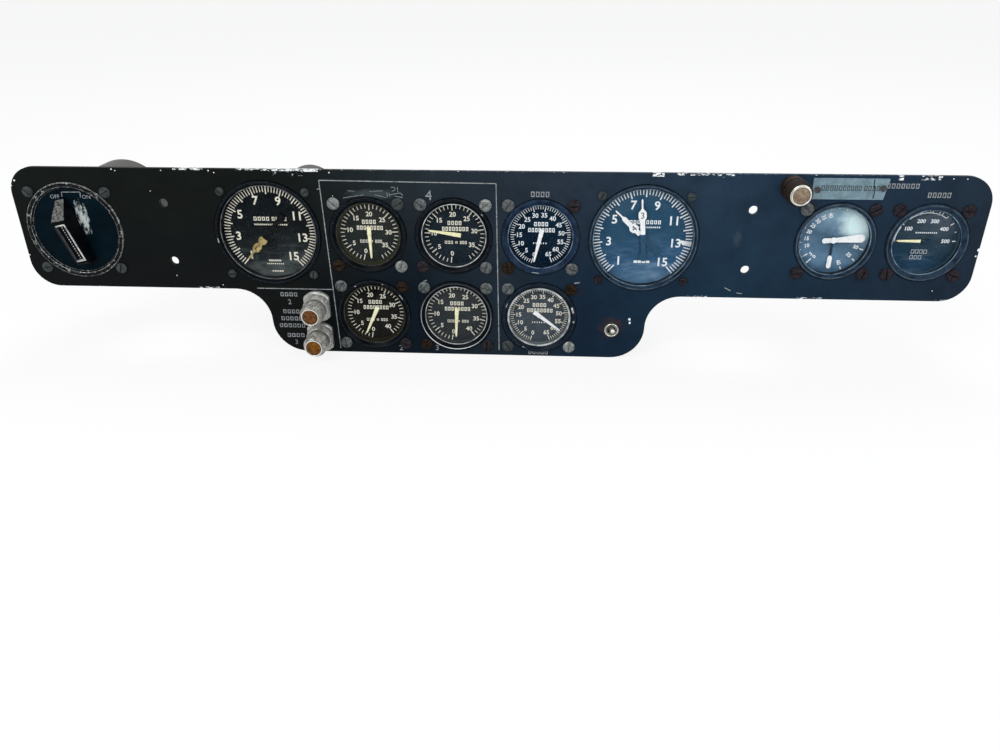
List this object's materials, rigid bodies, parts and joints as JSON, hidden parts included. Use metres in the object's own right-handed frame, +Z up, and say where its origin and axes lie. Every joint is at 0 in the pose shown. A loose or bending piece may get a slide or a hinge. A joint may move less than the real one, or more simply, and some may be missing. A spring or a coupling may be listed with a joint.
{
  "type": "aircraft fuel control panel",
  "caption": "Flat instrument panel with rear-mounted round fuel indicators, a rotary tank selector, press-to-test lamps and a toggle switch.",
  "frame": {"origin": "centre of the four mounting holes, on the panel plate's rear face", "axes": "+X to the panel's right as seen from the front, +Z up the panel, +Y to the rear along the mounting bolts; the dials face -Y"},
  "size_m": [0.7023, 0.1707, 0.1432],
  "materials": {
    "panel_paint": "semi-matt black to navy enamel, chipped at the edges",
    "screw_steel": "slotted steel, part bright and part rusted",
    "dark_screw": "slotted steel, blackened",
    "label_paint": "grey-blue enamel, cracked",
    "rivet": "worn",
    "can_paint": "olive grey enamel",
    "rim_paint": "chipped to bare metal along its edges",
    "selector_paint": "satin dark blue-black",
    "contact_board": "resin board",
    "knob_plastic": "moulded, worn pale at the corners",
    "knob_inlay": "worn cream",
    "shaft_steel": "turned",
    "case_paint": "satin black",
    "bezel_paint": "satin black",
    "gauge_glass": "clear",
    "dial_grey": "matt black, greyed",
    "dial_blue": "matt black that looks blue under its glass",
    "dial_black": "matt black",
    "movement_metal": "cast",
    "pointer_paint": "aged cream paint",
    "connector_metal": "olive plated",
    "lamp_metal": "satin plated, spotted",
    "rusty_collar": "rusted",
    "amber_lens": "dark amber",
    "switch_body": "moulded resin"
  },
  "bodies": {
    "panel": {"panel_plate": "panel_paint", "gauge_screws": "screw_steel", "flow_gauge_screws": "dark_screw", "selector_screws": "dark_screw", "label_plate": "label_paint", "label_plate_rivets": "rivet", "selector_housing": "can_paint", "selector_rim": "rim_paint", "selector_face": "selector_paint", "selector_contacts": "contact_board", "flow_left_case": "can_paint", "flow_right_case": "case_paint", "flow_bezels": "bezel_paint", "flow_glasses": "gauge_glass", "flow_left_dial": "dial_grey", "flow_right_dial": "dial_blue", "flow_movements": "movement_metal", "quantity_cases": "case_paint", "pressure_cases": "case_paint", "quantity_bezels": "bezel_paint", "pressure_bezels": "bezel_paint", "quantity_glasses": "gauge_glass", "pressure_glasses": "gauge_glass", "fuel_dials": "dial_black", "water_dials": "dial_black", "belly_dial": "dial_black", "pressure_dial": "dial_black", "quantity_movements": "movement_metal", "pressure_movements": "movement_metal", "rear_connectors": "connector_metal", "lamp_sockets": "lamp_metal", "lamp_flanges": "lamp_metal", "belly_lamp_collar": "rusty_collar", "toggle_body": "switch_body", "toggle_bushing": "shaft_steel", "toggle_ring_nut": "shaft_steel"},
    "selector": {"selector_knob": "knob_plastic", "selector_knob_insert": "knob_inlay", "selector_shaft": "shaft_steel"},
    "fuel_hand_1": {"fuel_pointer_1": "pointer_paint"},
    "fuel_hand_2": {"fuel_pointer_2": "pointer_paint"},
    "fuel_hand_3": {"fuel_pointer_3": "pointer_paint"},
    "fuel_hand_4": {"fuel_pointer_4": "pointer_paint"},
    "water_hand_left": {"water_pointer_left": "pointer_paint"},
    "water_hand_right": {"water_pointer_right": "pointer_paint"},
    "flow_left_hand_3": {"flow_left_pointer_3": "pointer_paint"},
    "flow_left_hand_4": {"flow_left_pointer_4": "pointer_paint"},
    "flow_right_hand_3": {"flow_right_pointer_3": "pointer_paint"},
    "flow_right_hand_4": {"flow_right_pointer_4": "pointer_paint"},
    "belly_hand_long": {"belly_pointer_long": "pointer_paint"},
    "belly_hand_short": {"belly_pointer_short": "pointer_paint"},
    "pressure_hand": {"pressure_pointer": "pointer_paint"},
    "lamp_button_upper": {"lamp_cap_upper": "lamp_metal", "lamp_lens_upper": "amber_lens"},
    "lamp_button_lower": {"lamp_cap_lower": "lamp_metal", "lamp_lens_lower": "amber_lens"},
    "lamp_button_belly": {"lamp_cap_belly": "lamp_metal", "lamp_lens_belly": "amber_lens"},
    "toggle": {"toggle_lever": "shaft_steel"}
  },
  "joints": [
    {"name": "selector_turn", "type": "hinge", "parent": "panel", "child": "selector", "pos_m": [-0.2851, -0.0032, 0.0005], "axis": [0, 1, 0], "range_deg": [0, 27]},
    {"name": "fuel_pointer_1_turn", "type": "hinge", "parent": "panel", "child": "fuel_hand_1", "pos_m": [-0.0635, -0.0032, 0], "axis": [0, 1, 0], "range_deg": [-7, 329]},
    {"name": "fuel_pointer_2_turn", "type": "hinge", "parent": "panel", "child": "fuel_hand_2", "pos_m": [-0.0635, -0.0032, -0.0635], "axis": [0, 1, 0], "range_deg": [-33, 303]},
    {"name": "fuel_pointer_3_turn", "type": "hinge", "parent": "panel", "child": "fuel_hand_3", "pos_m": [0, -0.0032, -0.0635], "axis": [0, 1, 0], "range_deg": [-11, 325]},
    {"name": "fuel_pointer_4_turn", "type": "hinge", "parent": "panel", "child": "fuel_hand_4", "pos_m": [0, -0.0032, 0], "axis": [0, 1, 0], "range_deg": [-106, 230]},
    {"name": "water_pointer_left_turn", "type": "hinge", "parent": "panel", "child": "water_hand_left", "pos_m": [0.0635, -0.0032, 0], "axis": [0, 1, 0], "range_deg": [-1, 335]},
    {"name": "water_pointer_right_turn", "type": "hinge", "parent": "panel", "child": "water_hand_right", "pos_m": [0.0635, -0.0032, -0.0635], "axis": [0, 1, 0], "range_deg": [-295, 41]},
    {"name": "flow_left_pointer_3_turn", "type": "hinge", "parent": "panel", "child": "flow_left_hand_3", "pos_m": [-0.1385, -0.0032, 0], "axis": [0, 1, 0], "range_deg": [-4, 280]},
    {"name": "flow_left_pointer_4_turn", "type": "hinge", "parent": "panel", "child": "flow_left_hand_4", "pos_m": [-0.1385, -0.0032, 0], "axis": [0, 1, 0], "range_deg": [-4, 280]},
    {"name": "flow_right_pointer_3_turn", "type": "hinge", "parent": "panel", "child": "flow_right_hand_3", "pos_m": [0.138, -0.0032, 0], "axis": [0, 1, 0], "range_deg": [-137, 147]},
    {"name": "flow_right_pointer_4_turn", "type": "hinge", "parent": "panel", "child": "flow_right_hand_4", "pos_m": [0.138, -0.0032, 0], "axis": [0, 1, 0], "range_deg": [-95, 189]},
    {"name": "belly_pointer_long_turn", "type": "hinge", "parent": "panel", "child": "belly_hand_long", "pos_m": [0.274, -0.0032, 0], "axis": [0, 1, 0], "range_deg": [-265, 65]},
    {"name": "belly_pointer_short_turn", "type": "hinge", "parent": "panel", "child": "belly_hand_short", "pos_m": [0.274, -0.0032, 0], "axis": [0, 1, 0], "range_deg": [0, 330]},
    {"name": "pressure_pointer_turn", "type": "hinge", "parent": "panel", "child": "pressure_hand", "pos_m": [0.3378, -0.0032, 0], "axis": [0, 1, 0], "range_deg": [-4, 184]},
    {"name": "lamp_press_upper", "type": "slide", "parent": "panel", "child": "lamp_button_upper", "axis": [0, 1, 0], "range_m": [0, 0.0016], "stiffness_N_per_m": 300, "springref_m": -0.003},
    {"name": "lamp_press_lower", "type": "slide", "parent": "panel", "child": "lamp_button_lower", "axis": [0, 1, 0], "range_m": [0, 0.0016], "stiffness_N_per_m": 300, "springref_m": -0.003},
    {"name": "lamp_press_belly", "type": "slide", "parent": "panel", "child": "lamp_button_belly", "axis": [0, 1, 0], "range_m": [0, 0.0016], "stiffness_N_per_m": 300, "springref_m": -0.003},
    {"name": "toggle_tip", "type": "hinge", "parent": "panel", "child": "toggle", "pos_m": [0.1188, -0.0022, -0.0705], "axis": [1, 0, 0], "range_deg": [0, 26]}
  ]
}
